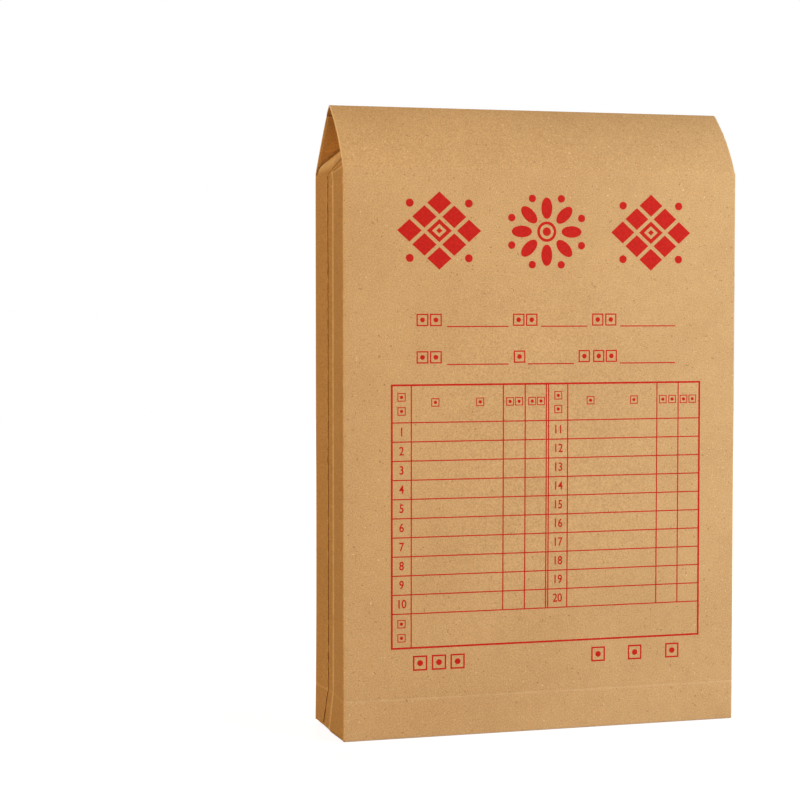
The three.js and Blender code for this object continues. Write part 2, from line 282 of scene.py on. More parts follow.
def colour_mix(tree, blend, factor, first, second):
    mix = tree.nodes.new("ShaderNodeMix")
    mix.data_type = "RGBA"
    mix.blend_type = blend
    for number, value in ((0, factor), (6, first), (7, second)):
        feed(tree, mix.inputs[number], value)
    return mix.outputs[2]


def maths(tree, operation, *values):
    made = tree.nodes.new("ShaderNodeMath")
    made.operation = operation
    for socket, value in zip(made.inputs, values):
        feed(tree, socket, value)
    return made.outputs[0]


def ramp(tree, value, low, high, low_result=0.0, high_result=1.0):
    """A smooth step of a value from low to high."""
    made = tree.nodes.new("ShaderNodeMapRange")
    made.interpolation_type = "SMOOTHSTEP"
    link(tree, value, made.inputs["Value"])
    made.inputs["From Min"].default_value = low
    made.inputs["From Max"].default_value = high
    made.inputs["To Min"].default_value = low_result
    made.inputs["To Max"].default_value = high_result
    return made.outputs["Result"]


def grain(tree, place, scale, detail=2.0, roughness=0.5):
    """Noise at a place, with its scale in features per metre."""
    made = tree.nodes.new("ShaderNodeTexNoise")
    made.inputs["Scale"].default_value = scale
    made.inputs["Detail"].default_value = detail
    made.inputs["Roughness"].default_value = roughness
    link(tree, place, made.inputs["Vector"])
    return made.outputs["Fac"]


def bumped(tree, height, strength, distance):
    """The normal of a height."""
    made = tree.nodes.new("ShaderNodeBump")
    made.inputs["Strength"].default_value = strength
    made.inputs["Distance"].default_value = distance
    link(tree, height, made.inputs["Height"])
    return made.outputs["Normal"]


cotton, cotton_shader = new_material("cotton string", (0.86, 0.90, 0.93), 0.95)
cotton_shader.inputs["Sheen Weight"].default_value = 0.3
cotton_tree = cotton.node_tree
cotton_fuzz = grain(cotton_tree, object_place(cotton_tree), 5000, 3)
cotton_tint = colour_mix(cotton_tree, "MIX", cotton_fuzz, (0.79, 0.83, 0.86), (0.92, 0.95, 0.98))
link(cotton_tree, cotton_tint, cotton_shader.inputs["Base Color"])
link(cotton_tree, bumped(cotton_tree, cotton_fuzz, 0.6, 0.1 * MM), cotton_shader.inputs["Normal"])

string_line = smooth_line(string_route, 16)
string_plies, string_length = plies_along(string_line)
string_curve = new_strands("string", PLY_RADIUS, 2)
for ply in string_plies:
    frayed = [max(0.0, 1 - (point - ply[0]).length / FRAYED_LENGTH) for point in ply]
    add_strand(string_curve, ply, [1 + FRAYED_SWELL * share for share in frayed])
string = add_piece("cotton_string", as_mesh("cotton_string", string_curve), cotton)
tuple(string_line[0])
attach(string, "flap")
on_flap(0, 3, 1)
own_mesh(string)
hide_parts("string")


# Bag walls
# One sheet of brown kraft board, creased round the front wall, the gussets and the back wall, and
# glued at a lap over the left gusset. The front wall's top curves back over the gussets' folded tops.
BOARD = 0.5 * MM
HALF_WIDTH = 115 * MM
SHOULDER = 309 * MM
CORNER = 0.75 * MM
BASE_CREASE = 21.5 * MM
GUSSET_INSET = 2.5 * MM
WEB_SEAM = 300 * MM
LIP_SEAM = 308 * MM
FOLD_MARGIN = 1.5 * MM
INFOLD_REACH = 28 * MM
LAP_EDGE = 8.5 * MM
LAP_EDGE_SIDE = 113.74 * MM
LAP_FOLD = 28 * MM
LAP_STANDOFF = 0.7 * MM
FIRST_ROW = 1.4 * MM
OUTER_BASE_FLAP = 51 * MM
INNER_BASE_FLAP = 50 * MM
BASE_FLAP_TAPER = 0.0065
TUCK_REACH = 22 * MM
NEARLY = 0.001 * MM
front_length, on_front_curve = bow((-HALF_DEPTH, SHOULDER), TOP_FOLD, math.radians(66), 1)
LIP_TOP = on_flap_curve(8 * MM, -BOARD - 1 * MM)
LIP_FOOT = (HALF_DEPTH, SHOULDER)
lip_length, on_lip_curve = bow(LIP_FOOT, LIP_TOP, slope(LIP_FOOT, LIP_TOP) - math.radians(2.6), -1)


def filled(line, spacing):
    """The line with points added so that none stand further apart than the spacing."""
    full = [line[0]]
    for point in line[1:]:
        last = full[-1].copy()
        pieces = max(1, math.ceil((point - last).length / spacing))
        full += [last.lerp(point, i / pieces) for i in range(1, pieces + 1)]
    return full


def draw_chain(bm, line):
    """Vertices along a line, joined by edges."""
    corners = [bm.verts.new(point) for point in line]
    return [bm.edges.new(pair) for pair in zip(corners, corners[1:])]


def extended(bm, edges, place):
    """Extrudes a chain of edges, puts each new vertex where place says and returns the new edges."""
    made = bmesh.ops.extrude_edge_only(bm, edges=edges)["geom"]
    verts = {item for item in made if isinstance(item, bmesh.types.BMVert)}
    for vert in verts:
        vert.co = place(vert)
    return [e for e in made if isinstance(e, bmesh.types.BMEdge) and verts.issuperset(e.verts)]


EDGE_STRAY = 0.5 * MM
EDGE_TREMBLE = 0.4 * MM
LAP_FOOT = 3.8 * MM


def lap_wave(z):
    """How far the lap's cut edge strays along its height, and draws back below the base crease."""
    slow = EDGE_STRAY * noise.noise(Vector((0, 0, z * 30)))
    quick = EDGE_TREMBLE * noise.noise(Vector((9, 0, z * 150)))
    return slow + quick + LAP_FOOT * max(0.0, 1 - z / BASE_CREASE)


WALL_FACE = HALF_DEPTH - 0.4 * MM
GUSSET_SIDE = HALF_WIDTH - 4 * MM
FULLNESS = 0.9 * MM
BASE_EASE = 90 * MM
BASE_SHIFT = 2.2 * MM
BASE_LIFT = 1.2 * MM
CREASE_SINK = 0.08 * MM


def base_ease(y, z):
    """How far the base eases back at a place, from 0 at the front wall to 1 at the back wall's foot."""
    return (y + HALF_DEPTH) / (2 * HALF_DEPTH) * max(0.0, 1 - z / BASE_EASE) ** 2


def settled(point):
    """The bag's own unevenness: full walls, gussets drawn straight at the base, a base eased back."""
    x, y, z = point
    moved = Vector(point)
    if abs(y) > WALL_FACE and z < SHOULDER:
        fullness = math.cos(math.pi * x / (2 * HALF_WIDTH)) * math.sin(math.pi * z / SHOULDER)
        moved.y += math.copysign(FULLNESS * fullness ** 2, y)
    if abs(x) > GUSSET_SIDE and abs(y) < WALL_FACE and z < SHOULDER:
        inward = 1 - abs(y) / HALF_DEPTH
        drawn = max(0.0, 1 - z / BASE_CREASE)
        moved.x += math.copysign(GUSSET_INSET * drawn * inward, x)
    moved.y += BASE_SHIFT * base_ease(y, z)
    moved.z += BASE_LIFT * base_ease(y, z)
    if abs(z - BASE_CREASE) < 0.1 * MM:
        moved.x -= math.copysign(CREASE_SINK * (abs(x) > GUSSET_SIDE), x)
        moved.y -= math.copysign(CREASE_SINK * (abs(y) > WALL_FACE), y)
    return moved


def worn(point):
    """How rubbed the board is at a point of the bag, from 0 to 1: its folds are paler."""
    ease = base_ease(point.y, point.z)
    x, y, z = abs(point.x), abs(point.y - BASE_SHIFT * ease), point.z - BASE_LIFT * ease
    at_corner = math.hypot(x - HALF_WIDTH, y - HALF_DEPTH) < 0.8 * MM and z < SHOULDER
    at_gusset_crease = y < 1.4 * MM and z < SHOULDER and x > GUSSET_SIDE
    at_gable_side = x > HALF_WIDTH - 0.8 * MM and z >= SHOULDER
    at_base = z < 0.6 * MM and y > HALF_DEPTH - CORNER
    at_base_crease = abs(z - BASE_CREASE) < 0.3 * MM
    crease_rub = 0.45 if x > GUSSET_SIDE and y < HALF_DEPTH - CORNER else 0.2
    paling = 0.3 * at_corner + 0.8 * at_gusset_crease + at_gable_side + 0.4 * at_base
    return min(1.0, paling + crease_rub * at_base_crease)


def made_mesh(name, bm):
    """A finished bmesh made a mesh."""
    mesh = bpy.data.meshes.new(name)
    bm.to_mesh(mesh)
    bm.free()
    return mesh


def finish_sheet(name, bm, outward, rub=worn):
    """Merges a sheet's doubles, turns its faces outwards, marks its worn folds and makes it a mesh."""
    bmesh.ops.remove_doubles(bm, verts=bm.verts, dist=0.002 * MM)
    bmesh.ops.dissolve_degenerate(bm, edges=bm.edges, dist=NEARLY)
    bmesh.ops.recalc_face_normals(bm, faces=bm.faces)
    bm.faces.ensure_lookup_table()
    nearest = min(bm.faces, key=lambda face: (face.calc_center_median() - outward[0]).length)
    if nearest.normal.dot(outward[1]) < 0:
        bmesh.ops.reverse_faces(bm, faces=bm.faces)
    if rub:
        pale_of = bm.verts.layers.float.new("wear_and_painted_light")
        for vert in bm.verts:
            vert[pale_of] = rub(vert.co)
    return made_mesh(name, bm)


def add_sheet(name, mesh, even=True):
    """Puts a sheet in the scene as board, thick inwards from its outer face, with crisp cut edges."""
    piece = add_piece(name, mesh, kraft, kraft_edge)
    board = piece.modifiers.new("board", "SOLIDIFY")
    board.thickness = BOARD
    board.offset = -1
    board.use_even_offset = even
    board.material_offset_rim = 1
    cut = piece.modifiers.new("cut edge", "BEVEL")
    cut.width = 0.06 * MM
    cut.segments = 1
    cut.limit_method = "ANGLE"
    cut.angle_limit = math.radians(50)
    cut.harden_normals = True
    return piece


outline_corners = [
    Vector((-LAP_EDGE_SIDE, LAP_EDGE, FIRST_ROW)),
    Vector((-HALF_WIDTH, HALF_DEPTH, FIRST_ROW)),
    Vector((HALF_WIDTH, HALF_DEPTH, FIRST_ROW)),
    Vector((HALF_WIDTH - GUSSET_INSET, 0, FIRST_ROW)),
    Vector((HALF_WIDTH, -HALF_DEPTH, FIRST_ROW)),
    Vector((-HALF_WIDTH, -HALF_DEPTH, FIRST_ROW)),
    Vector((GUSSET_INSET - HALF_WIDTH, 0, FIRST_ROW)),
    Vector((LAP_STANDOFF - HALF_WIDTH, LAP_FOLD, FIRST_ROW)),
]


def rounded(points, radius, steps=4, margins=(1.2 * MM, 1.9 * MM)):
    """An open line with its corners rounded, and points at the margins before and after each."""
    line = [points[0]]
    for before, corner, after in zip(points, points[1:], points[2:]):
        way_in = (corner - before).normalized()
        way_out = (after - corner).normalized()
        reach = radius * math.tan(way_in.angle(way_out) / 2)
        first = corner - way_in * reach
        last = corner + way_out * reach
        line += [first - way_in * margin for margin in reversed(margins)]
        for i in range(steps + 1):
            t = i / steps
            line.append(first.lerp(corner, t).lerp(corner.lerp(last, t), t))
        line += [last + way_out * margin for margin in margins]
    return line + [points[-1]]


outline = filled(rounded(outline_corners, CORNER), 9 * MM)
# How far the outline stands in from a wall's face, by its place across.
side_drop = {
    round(p.x, 6): min(0.0, abs(p.y) - HALF_DEPTH)
    for p in outline
    if abs(p.y) > HALF_DEPTH - CORNER - NEARLY
}


def at_height(height):
    """Where a row's vertices go to stand at a height in millimetres."""
    return lambda vert: Vector((vert.co.x, vert.co.y, height * MM))


walls = bmesh.new()
run_of = walls.verts.layers.float.new("run")
first_row = draw_chain(walls, outline)
row = first_row
for height in (5, 9, 13, 17, 20.7, 21.5, 22.3, *range(26, 300, 5), 300):
    row = extended(walls, row, at_height(height))


def edges_where(edges, test):
    return [edge for edge in edges if all(test(vert.co) for vert in edge.verts)]


def on_front(co):
    return co.y < CORNER + NEARLY - HALF_DEPTH


def on_rear(co):
    return co.y > HALF_DEPTH - CORNER - NEARLY


def on_lap(co):
    """Whether a point is on the lap, which stands off the gusset beneath it."""
    beneath = HALF_WIDTH - GUSSET_INSET + (GUSSET_INSET - LAP_STANDOFF) * co.y / LAP_FOLD
    return -co.x > beneath + 0.3 * MM and LAP_EDGE - 2 * MM < co.y < HALF_DEPTH - CORNER + NEARLY


lap_row = edges_where(row, on_lap)
for height, rise, draw_in in ((303, 0, 0), (305, 0.5, 0.1), (306, 2.2, 0.35)):

    def lap_top(vert):
        """The lap's top edge, which rises towards the back wall."""
        share = min(1.0, (vert.co.y - LAP_EDGE) / (20 * MM))
        return Vector((vert.co.x + draw_in * MM, vert.co.y, (height + rise * share) * MM))

    lap_row = extended(walls, lap_row, lap_top)
rear_row = edges_where(row, on_rear)
front_row = edges_where(row, on_front)
for height in (304, 308):
    rear_row = extended(walls, rear_row, at_height(height))
    front_row = extended(walls, front_row, at_height(height))


def curve_row(layer, curve, run, roll=1.0):
    """Puts a row of vertices at a run along a wall's curve, with its sides rolled inwards."""

    def place(vert):
        vert[layer] = run
        return Vector((vert.co.x, *curve(run, roll * side_drop[round(vert.co.x, 6)])))

    return place


infold_runs = [lip_length * i / 13 for i in range(14)]
for run in infold_runs:
    front_row = extended(walls, front_row, curve_row(run_of, on_front_curve, run))
for run, roll in ((lip_length + 2.5 * MM, 0.4), (lip_length + 5 * MM, 0)):
    front_row = extended(walls, front_row, curve_row(run_of, on_front_curve, run, roll))
front_row = extended(walls, front_row, curve_row(run_of, on_front_curve, front_length - FOLD_MARGIN, 0))


def fold_in_sides(bm, layer, curve):
    """Rolls a gable wall's side edges round and carries them in to the gusset's diagonal crease."""

    def on_side(vert):
        beside = abs(abs(vert.co.x) - HALF_WIDTH) < NEARLY
        return beside and vert.co.z > SHOULDER - 0.01 * MM and vert[layer] < lip_length + 0.01 * MM

    edges = [edge for edge in bm.edges if edge.is_boundary and all(on_side(v) for v in edge.verts)]
    for turn in (30, 60, 90):
        angle = math.radians(turn)

        def rolled(vert):
            x = HALF_WIDTH - CORNER + CORNER * math.cos(angle)
            off = -CORNER * (1 + math.sin(angle))
            return Vector((math.copysign(x, vert.co.x), *curve(vert[layer], off)))

        edges = extended(bm, edges, rolled)
    for share in (0.02, 0.35, 0.7, 1.0):

        def inwards(vert):
            x = HALF_WIDTH - CORNER - INFOLD_REACH * share * vert[layer] / lip_length
            return Vector((math.copysign(x, vert.co.x), *curve(vert[layer], -2 * CORNER)))

        edges = extended(bm, edges, inwards)


fold_in_sides(walls, run_of, on_front_curve)


def fold_under(bm, edges, wall_y, level, reach):
    """Turns a wall's lower edges under, round a small radius, as a bottom flap."""
    for turn in (0, 22, 45, 68, 90):
        angle = math.radians(turn)
        y = wall_y - math.copysign(CORNER * (1 - math.cos(angle)), wall_y)
        z = level + CORNER * (1 - math.sin(angle))
        edges = extended(bm, edges, lambda vert: Vector((vert.co.x, y, z)))
    for share in (0.25, 0.5, 0.75, 1.0):
        y = wall_y - math.copysign(CORNER + (reach - CORNER) * share, wall_y)
        edges = extended(bm, edges, lambda vert: Vector((vert.co.x * (1 - BASE_FLAP_TAPER), y, level)))


def flat_wall(sign):
    """A test for points on the flat part of the front wall (-1) or the back wall (1)."""
    reach = HALF_WIDTH - CORNER + NEARLY
    return lambda co: sign * co.y > HALF_DEPTH - NEARLY and abs(co.x) < reach


def on_gusset(co):
    return abs(co.y) < HALF_DEPTH - CORNER + NEARLY and not on_lap(co)


def corner_roll(co):
    return abs(co.x) > HALF_WIDTH - CORNER - NEARLY and abs(co.y) > HALF_DEPTH - CORNER - NEARLY


def tucked_under(vert):
    return Vector((vert.co.x * 0.9985, vert.co.y * 0.995, 1.0 * MM))


def tuck_end(vert):
    """A tuck narrows towards its end, under the base."""
    return Vector((math.copysign(HALF_WIDTH - TUCK_REACH, vert.co.x), vert.co.y * 0.22, 1.0 * MM))


fold_under(walls, edges_where(first_row, flat_wall(-1)), -HALF_DEPTH, 0, OUTER_BASE_FLAP)
fold_under(walls, edges_where(first_row, flat_wall(1)), HALF_DEPTH, BOARD, INNER_BASE_FLAP)
extended(walls, edges_where(first_row, corner_roll), at_height(0.2))
extended(walls, edges_where(first_row, on_lap), at_height(0.9))
tuck_row = extended(walls, edges_where(first_row, on_gusset), at_height(1.1))
tuck_row = extended(walls, tuck_row, tucked_under)
extended(walls, tuck_row, tuck_end)
for vert in walls.verts:
    if on_lap(vert.co) and vert.co.y < LAP_EDGE + 0.01 * MM:
        vert.co.y += lap_wave(vert.co.z)
    vert.co = settled(vert.co)


def kraft_group():
    """Brown kraft board's look: clouds, flecks and a fine tooth, drawn out along the bag's depth."""
    tree = bpy.data.node_groups.new("kraft fibres", "ShaderNodeTree")
    for name, way, kind in (
        ("Tone", "INPUT", "Color"),
        ("Wear and painted light", "INPUT", "Float"),
        ("Color", "OUTPUT", "Color"),
        ("Roughness", "OUTPUT", "Float"),
        ("Normal", "OUTPUT", "Vector"),
    ):
        tree.interface.new_socket(name, in_out=way, socket_type="NodeSocket" + kind)
    given = tree.nodes.new("NodeGroupInput")
    result = tree.nodes.new("NodeGroupOutput")
    drawn_out = tree.nodes.new("ShaderNodeMapping")
    drawn_out.inputs["Scale"].default_value = (1, 0.45, 1)
    link(tree, object_place(tree), drawn_out.inputs["Vector"])
    place = drawn_out.outputs["Vector"]
    clouds = grain(tree, place, 22)
    mottle = grain(tree, place, 170, 3, 0.6)
    tooth = grain(tree, place, 1300, 2, 0.6)
    fleck = grain(tree, place, 900, 1)
    speck = grain(tree, place, 800, 0)
    colour = given.outputs["Tone"]
    for value, low, high, dark, pale in (
        (clouds, 0.35, 0.65, (0.975, 0.97, 0.965), (1.025, 1.03, 1.035)),
        (mottle, 0.3, 0.7, (0.98, 0.974, 0.968), (1.02, 1.026, 1.032)),
        (tooth, 0.3, 0.7, (0.865, 0.845, 0.81), (1.125, 1.145, 1.18)),
    ):
        tint = colour_mix(tree, "MIX", ramp(tree, value, low, high), dark, pale)
        colour = colour_mix(tree, "MULTIPLY", 1.0, colour, tint)
    pale_flecks = ramp(tree, fleck, 0.72, 0.78, 0.0, 0.8)
    colour = colour_mix(tree, "MIX", pale_flecks, colour, (0.86, 0.62, 0.376))
    dark_specks = ramp(tree, speck, 0.80, 0.83, 0.0, 0.5)
    colour = colour_mix(tree, "MIX", dark_specks, colour, (0.26, 0.108, 0.032))
    # The pale mix: rubbed folds and cut edges on the walls, lip and flap, and painted light on the
    # gusset webs' ridge band and recess.
    uneven = ramp(tree, mottle, 0.25, 0.6, 0.5)
    paling = maths(tree, "MULTIPLY", given.outputs["Wear and painted light"], uneven)
    colour = colour_mix(tree, "MIX", paling, colour, (0.87, 0.63, 0.384))
    link(tree, colour, result.inputs["Color"])
    link(tree, ramp(tree, tooth, 0.3, 0.7, 0.72, 0.9), result.inputs["Roughness"])
    height = maths(tree, "ADD", tooth, maths(tree, "MULTIPLY", mottle, 0.5))
    link(tree, bumped(tree, height, 0.28, 0.12 * MM), result.inputs["Normal"])
    return tree


kraft_fibres = kraft_group()


def kraft_material(name, tone, wear_and_painted_light=1.0):
    """Kraft board of a tone, paler where the mesh's pale attribute marks it: rubbed folds and cut edges
    on the walls, lip and flap, and painted light on the gusset webs' ridge band and recess.
    """
    material, shader = new_material(name, tone, 0.82)
    tree = material.node_tree
    fibres = tree.nodes.new("ShaderNodeGroup")
    fibres.node_tree = kraft_fibres
    fibres.inputs["Tone"].default_value = (*tone, 1)
    marks = tree.nodes.new("ShaderNodeAttribute")
    marks.attribute_name = "wear_and_painted_light"
    link(tree, maths(tree, "MULTIPLY", marks.outputs["Fac"], wear_and_painted_light), fibres.inputs["Wear and painted light"])
    for socket, target in (("Color", "Base Color"), ("Roughness", "Roughness"), ("Normal", "Normal")):
        link(tree, fibres.outputs[socket], shader.inputs[target])
    shader.inputs["Specular IOR Level"].default_value = 0.1
    return material


KRAFT_TONE = (0.592, 0.353, 0.158)
kraft = kraft_material("kraft board", KRAFT_TONE)
kraft_edge = kraft_material("kraft cut edge", (0.82, 0.594, 0.384), 0.0)

front_outward = (Vector((0, -HALF_DEPTH, 0.15)), Vector((0, -1, 0)))
bag_walls = add_sheet("bag_walls", finish_sheet("bag_walls", walls, front_outward))
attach(bag_walls, "root")
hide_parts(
    "front_panel",
    "front_shoulder",
    "back_panel",
    "glue_lap",
    "bottom_outer_flap",
    "bottom_inner_flap",
)
for side in ("left", "right"):
    for part in ("gusset_front", "gusset_back", "infold_front", "bottom_tuck"):
        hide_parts(f"{side}_{part}")


# Glue line
# Brown glue squeezed out along the lap's cut edge when the lap was pressed down on the gusset, and
# dried there in a thin uneven bead.
GLUE_RADIUS = 0.26 * MM
GLUE_LUMPS = 0.9


def glue_place(z):
    """The middle of the glue line at a height: beside the lap's edge, on the gusset."""
    y = LAP_EDGE + lap_wave(z) - 0.1 * MM
    x = GUSSET_INSET * (1 - y / HALF_DEPTH) - HALF_WIDTH
    return settled(Vector((x, y, z)))


glue_curve = new_strands("glue_line", GLUE_RADIUS, 1)
glue_heights = [(2 + 1.5 * i) * MM for i in range(204)]
glue_swells = [1 + GLUE_LUMPS * noise.noise(Vector((4, 0, z * 210))) for z in glue_heights]
add_strand(glue_curve, [glue_place(z) for z in glue_heights], glue_swells)
glue, glue_shader = new_material("brown glue", (0.20, 0.081, 0.024), 0.7)
glue_tree = glue.node_tree
glue_grain = grain(glue_tree, object_place(glue_tree), 700, 3)
glue_tint = colour_mix(glue_tree, "MIX", glue_grain, (0.11, 0.041, 0.010), (0.30, 0.126, 0.04))
link(glue_tree, glue_tint, glue_shader.inputs["Base Color"])
glue_line = add_piece("glue_line", as_mesh("glue_line", glue_curve), glue)
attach(glue_line, "root")


# Gusset webs
# Above the gussets the same sheet folds inwards under the gable: a soft ridge, then a recess between
# the front wall and the lip.
WEB_STEPS = 24
WEB_COLUMNS = 90
FOLD_GROOVE = 3 * WEB_STEPS
FOLD_RIDGE = 4.3 * WEB_STEPS
GROOVE_SLANT = 76
GROOVE_DEPTH = 1.1 * MM
SECOND_DROP = 14
SECOND_DEPTH = 0.4 * MM
RECESS_BUCKLE = 0.6 * MM


def web_guides(side):
    """The web's front edge, middle crease and rear edge, from the gusset up to the recess."""
    seam_rear = Vector((HALF_WIDTH, HALF_DEPTH - CORNER, WEB_SEAM))
    if side < 0:
        seam_rear = Vector((HALF_WIDTH - LAP_STANDOFF, LAP_FOLD, WEB_SEAM))

    def front(x, run, off=-1.9):
        return Vector((x * MM, *on_front_curve(run * MM, off * MM)))

    def middle(x, y, z):
        return Vector((x, y, z)) * MM

    def rear(x, run, off=-1.9):
        return Vector((x * MM, *on_lip_curve(run * MM, off * MM)))

    rise = Vector((0, 0, 4 * MM))
    seam_front = Vector((HALF_WIDTH, CORNER - HALF_DEPTH, WEB_SEAM))
    seam_middle = Vector((HALF_WIDTH - GUSSET_INSET, 0, WEB_SEAM))
    fronts = [seam_front, seam_front + rise, front(114.6, 0.5, -1), front(114.0, 7.0), front(113.7, 11)]
    fronts += [front(112, 14), front(105, 19), front(97.5, 29), front(90, 37.5)]
    middles = [seam_middle, seam_middle + rise, middle(112.9, 0, 307.3), middle(112.9, 0.3, 310.0)]
    middles += [middle(112.0, 0.8, 314.0), middle(109.6, 1, 316.8), middle(102, 1, 320)]
    middles += [middle(94.5, 0.8, 328), middle(87.5, 0.5, 338)]
    rears = [seam_rear, seam_rear + rise, rear(114.3, -2, -1), rear(114.2, 0), rear(113.6, 4.4)]
    rears += [rear(111.8, 7.6), rear(106, 14), rear(98, 25), rear(89.5, 36.5)]
    return [smooth_line(line, WEB_STEPS) for line in (fronts, middles, rears)]


def groove_depth(level, across):
    """How deep the pressed fold under the ridge stands in, with a shallower one below it in front."""
    below = FOLD_GROOVE - GROOVE_SLANT * max(0.0, across) - level
    breadth = 2.0 + 0.7 * min(0.0, across)
    deep = GROOVE_DEPTH * math.exp(-(below / breadth) ** 2)
    second = SECOND_DEPTH * math.exp(-((below - SECOND_DROP) / breadth) ** 2) * (across < -0.1)
    fade = min(1.0, max(0.0, (0.3 - across) / 0.06))
    return (deep + second) * fade


def build_web(side):
    """A web lofted between its guides, paler on its ridge and in its recess than below: some rubbing on
    the ridge fold, and painted light for the lit ridge band and the recess.
    """
    fronts, middles, rears = web_guides(side)
    rows = len(fronts) - 1
    web = bmesh.new()
    pale_of = web.verts.layers.float.new("wear_and_painted_light")
    bmesh.ops.create_grid(web, x_segments=WEB_COLUMNS, y_segments=rows, size=1)
    for vert in web.verts:
        level = round((vert.co.y + 1) / 2 * rows)
        across = vert.co.x
        end = fronts[level] if across < 0 else rears[level]
        point = middles[level].lerp(end, abs(across))
        inside = min(1, max(0, level - FOLD_GROOVE) / 40) * min(1, (1 - abs(across)) * 4)
        point.x += RECESS_BUCKLE * noise.noise(point * 110) * inside
        point.x -= groove_depth(level, across)
        at_crease = abs(across) < 0.05 and level < FOLD_GROOVE - 12
        at_fold = math.exp(-((level - FOLD_GROOVE + 20) / 3) ** 2) * (across < -0.1)
        # Painted light: paler from the groove up to the ridge, fading to half at the top of the recess.
        # It stands in for the light on the ridge band and in the recess, with some real rubbing on the
        # ridge fold.
        onto_ridge = min(1.0, max(0.0, (level - FOLD_GROOVE) / (FOLD_RIDGE - FOLD_GROOVE)))
        past_ridge = max(0.0, (level - FOLD_RIDGE) / (rows - FOLD_RIDGE))
        ridge_rub_and_painted_light = onto_ridge * (1 - 0.5 * past_ridge)
        vert[pale_of] = min(1.1, ridge_rub_and_painted_light + 0.8 * at_crease + 0.5 * at_fold)
        vert.co = settled(Vector((side * point.x, point.y, point.z)))
    inner = Vector((side * HALF_WIDTH, 5 * MM, WEB_SEAM + 2 * MM))
    return finish_sheet("web", web, (inner, Vector((side, 0, 0))), rub=None)


for name, side in (("left", -1), ("right", 1)):
    web = add_sheet(f"{name}_gusset_web", build_web(side))
    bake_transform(web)
    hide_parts(f"{name}_web_front", f"{name}_web_back")


# Lip
# The back wall's top, creased at the shoulder so that it leans in under the flap. On the bag it springs
# out when the bag is opened, with the gussets' rear triangles; this sheet is not attached to a moving
# body.
lip = bmesh.new()
lip_run_of = lip.verts.layers.float.new("run")
lip_row = draw_chain(lip, [Vector((*p.xy, LIP_SEAM)) for p in outline if on_rear(p)])
for run in infold_runs:
    lip_row = extended(lip, lip_row, curve_row(lip_run_of, on_lip_curve, run))
fold_in_sides(lip, lip_run_of, on_lip_curve)
lip_outward = (Vector((0, 0.018, 0.325)), Vector((0, 1, 1)))
back_lip = add_sheet("back_lip_sheet", finish_sheet("back_lip_sheet", lip, lip_outward))
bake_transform(back_lip)
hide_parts("back_lip", "left_infold_back", "right_infold_back")


# Flap
# The front wall's sheet carried over the top fold, drawn in towards its lower edge, with rounded
# corners. It bends at the fold, which is part of it.
FLAP_START_SIDE = 114.6 * MM
FLAP_CORNER = 7 * MM
FLAP_TAPER = 5.5 * MM
FLAP_TAPER_START = 7 * MM
PALE_EDGE = 0.3 * MM


def flap_side(run):
    """The flap's half width at a run: it tapers, and its lower corners are round."""
    drawn = max(0.0, run - FLAP_TAPER_START) / (flap_length - FLAP_TAPER_START)
    side = FLAP_START_SIDE - FLAP_TAPER * drawn
    into_corner = min(FLAP_CORNER, max(0.0, run - (flap_length - FLAP_CORNER)))
    return side - FLAP_CORNER + math.sqrt(FLAP_CORNER ** 2 - into_corner ** 2)


def flap_row(run):
    return lambda vert: Vector((vert[across_of] * flap_side(run), *on_flap_curve(run)))


flap = bmesh.new()
across_of = flap.verts.layers.float.new("across")
before_fold = Vector((0, *on_front_curve(front_length - FOLD_MARGIN)))
after_fold = Vector((0, *on_flap_curve(FOLD_MARGIN)))
fold_line = rounded([before_fold, Vector((0, *TOP_FOLD)), after_fold], 1.6 * MM, 6, (0.2 * MM,))
flap_edge_row = draw_chain(flap, [Vector((p.x, *before_fold.yz)) for p in outline if on_front(p)])
for vert in flap.verts:
    vert[across_of] = vert.co.x / HALF_WIDTH
for i, point in enumerate(fold_line[1:]):
    half = HALF_WIDTH + (flap_side(FOLD_MARGIN) - HALF_WIDTH) * (i + 1) / (len(fold_line) - 1)
    flap_edge_row = extended(
        flap, flap_edge_row, lambda vert: Vector((vert[across_of] * half, *point.yz))
    )
straight = flap_length - FLAP_CORNER - FOLD_MARGIN
runs = [FOLD_MARGIN + straight * i / 14 for i in range(1, 15)]
for turn in range(10, 91, 10):
    runs.append(flap_length - FLAP_CORNER * (1 - math.sin(math.radians(turn))))
for run in runs:
    flap_edge_row = extended(flap, flap_edge_row, flap_row(run))


def flap_worn(point):
    """The flap's cut edge is rubbed pale too, in a fine line."""
    run = flap_length * math.dist(point.yz, TOP_FOLD) / math.dist(FLAP_END, TOP_FOLD)
    at_edge = run > flap_length - PALE_EDGE or abs(point.x) > flap_side(run) - PALE_EDGE
    return max(worn(point), 0.8 * (at_edge and run > FOLD_MARGIN))


flap_outward = (Vector((0, 0.02, 0.325)), Vector((0, 1, 1)))
flap_mesh = finish_sheet("closing_flap_sheet", flap, flap_outward, flap_worn)
closing_flap = add_sheet("closing_flap_sheet", flap_mesh, even=False)
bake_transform(closing_flap)
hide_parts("closing_flap")


# Buttons
# White coated fibreboard discs that turn on nickel eyelets. Each eyelet goes through the board and is
# clinched over a brown fibre washer inside.
def seat(place, off):
    """A button's place, as a matrix whose Z points off the board."""
    across = Vector((1, 0, 0))
    turned = Matrix((across, off.cross(across), off)).transposed().to_4x4()
    return Matrix.Translation(place) @ turned


def flap_seat():
    """The upper button's place on the flap."""
    y, z = on_flap_curve(upper_button_run)
    out_y, out_z = on_flap_curve(upper_button_run, 1.0)
    off = Vector((0, out_y - y, out_z - z)).normalized()
    return seat(Vector((0, y, z)), off)


